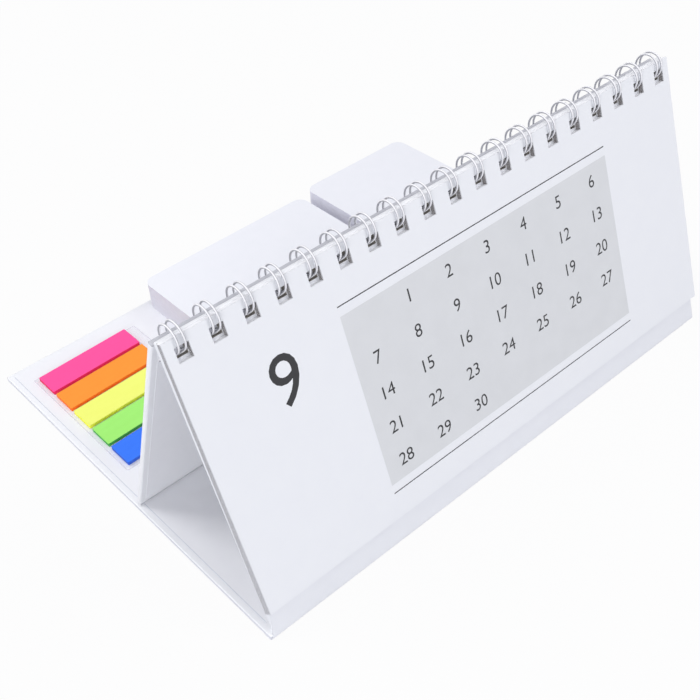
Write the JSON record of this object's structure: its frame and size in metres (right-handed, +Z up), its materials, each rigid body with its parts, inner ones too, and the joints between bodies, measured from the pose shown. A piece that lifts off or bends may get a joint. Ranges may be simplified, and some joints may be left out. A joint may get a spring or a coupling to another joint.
{
  "type": "desk calendar with note pads and page flags",
  "caption": "Wire-bound desk calendar on a folded white board tent, with note pads and coloured page flags on its base; the sheets turn up on the wire.",
  "frame": {"origin": "on the table, below the middle of the whole box", "axes": "+X along the wire to the reader's right, +Y from the front fold to the back, +Z up"},
  "size_m": [0.2434, 0.1805, 0.1094],
  "materials": {
    "greyboard": "matt, uncoated grey millboard",
    "cover_paper": "smooth white cover paper with a faint satin laminate",
    "lining_paper": "matt white uncoated paper",
    "sheet_paper": "matt white offset paper",
    "note_paper": "matt white note paper",
    "coated_wire": "steel wire with a glossy white nylon coat",
    "clear_film": "clear polyester film",
    "flag_pink": "bright dyed flag stock, matt",
    "flag_orange": "bright dyed flag stock, matt",
    "flag_yellow": "bright dyed flag stock, matt",
    "flag_green": "bright dyed flag stock, matt",
    "flag_blue": "bright dyed flag stock, matt"
  },
  "bodies": {
    "base": {"base_board": "greyboard", "base_cover": "cover_paper", "base_lining": "lining_paper", "front_fold": "cover_paper", "large_pad": "note_paper", "small_pad": "note_paper", "flag_carrier": "clear_film", "flag_pad_pink": "flag_pink", "flag_pad_orange": "flag_orange", "flag_pad_yellow": "flag_yellow", "flag_pad_green": "flag_green", "flag_pad_blue": "flag_blue"},
    "front_panel": {"front_board": "greyboard", "front_cover": "cover_paper", "front_lining": "lining_paper", "wire_binding": "coated_wire", "sheet_02": "sheet_paper", "sheet_03": "sheet_paper", "sheet_04": "sheet_paper", "sheet_05": "sheet_paper", "sheet_06": "sheet_paper", "sheet_07": "sheet_paper", "sheet_08": "sheet_paper", "sheet_09": "sheet_paper", "sheet_10": "sheet_paper", "sheet_11": "sheet_paper", "sheet_12": "sheet_paper", "sheet_13": "sheet_paper"},
    "rear_wall": {"rear_board": "greyboard", "rear_cover": "cover_paper", "rear_lining": "lining_paper"},
    "top_sheet": {"sheet_01": "sheet_paper"},
    "large_note": {"large_top_note": "note_paper"},
    "small_note": {"small_top_note": "note_paper"},
    "pink_flag": {"flag_top_pink": "flag_pink"},
    "orange_flag": {"flag_top_orange": "flag_orange"},
    "yellow_flag": {"flag_top_yellow": "flag_yellow"},
    "green_flag": {"flag_top_green": "flag_green"},
    "blue_flag": {"flag_top_blue": "flag_blue"}
  },
  "joints": [
    {"name": "front_panel_open", "type": "hinge", "parent": "base", "child": "front_panel", "pos_m": [0, -0.0907, 0], "axis": [1, 0, 0], "range_deg": [0, 100], "deforming": ["front_fold"]},
    {"name": "rear_wall_swing", "type": "hinge", "parent": "front_panel", "child": "rear_wall", "pos_m": [0, -0.04717, 0.10419], "axis": [1, 0, 0], "range_deg": [-25, 0]},
    {"name": "top_sheet_turn", "type": "hinge", "parent": "front_panel", "child": "top_sheet", "pos_m": [0, -0.04717, 0.10419], "axis": [-1, 0, 0], "range_deg": [0, 150]},
    {"name": "large_note_lift", "type": "hinge", "parent": "base", "child": "large_note", "pos_m": [0, 0.08845, 0.0153], "axis": [-1, 0, 0], "range_deg": [0, 150]},
    {"name": "small_note_lift", "type": "hinge", "parent": "base", "child": "small_note", "pos_m": [0, 0.08965, 0.0175], "axis": [-1, 0, 0], "range_deg": [0, 150]},
    {"name": "pink_flag_lift", "type": "hinge", "parent": "base", "child": "pink_flag", "pos_m": [-0.06732, 0.07165, 0.00415], "axis": [0, 1, 0], "range_deg": [0, 120]},
    {"name": "orange_flag_lift", "type": "hinge", "parent": "base", "child": "orange_flag", "pos_m": [-0.06732, 0.0576, 0.00415], "axis": [0, 1, 0], "range_deg": [0, 120]},
    {"name": "yellow_flag_lift", "type": "hinge", "parent": "base", "child": "yellow_flag", "pos_m": [-0.06732, 0.04355, 0.00415], "axis": [0, 1, 0], "range_deg": [0, 120]},
    {"name": "green_flag_lift", "type": "hinge", "parent": "base", "child": "green_flag", "pos_m": [-0.06732, 0.0295, 0.00415], "axis": [0, 1, 0], "range_deg": [0, 120]},
    {"name": "blue_flag_lift", "type": "hinge", "parent": "base", "child": "blue_flag", "pos_m": [-0.06732, 0.01545, 0.00415], "axis": [0, 1, 0], "range_deg": [0, 120]}
  ],
  "couplings": [
    {"joint": "rear_wall_swing", "follows": "front_panel_open", "ratio": -0.25}
  ]
}
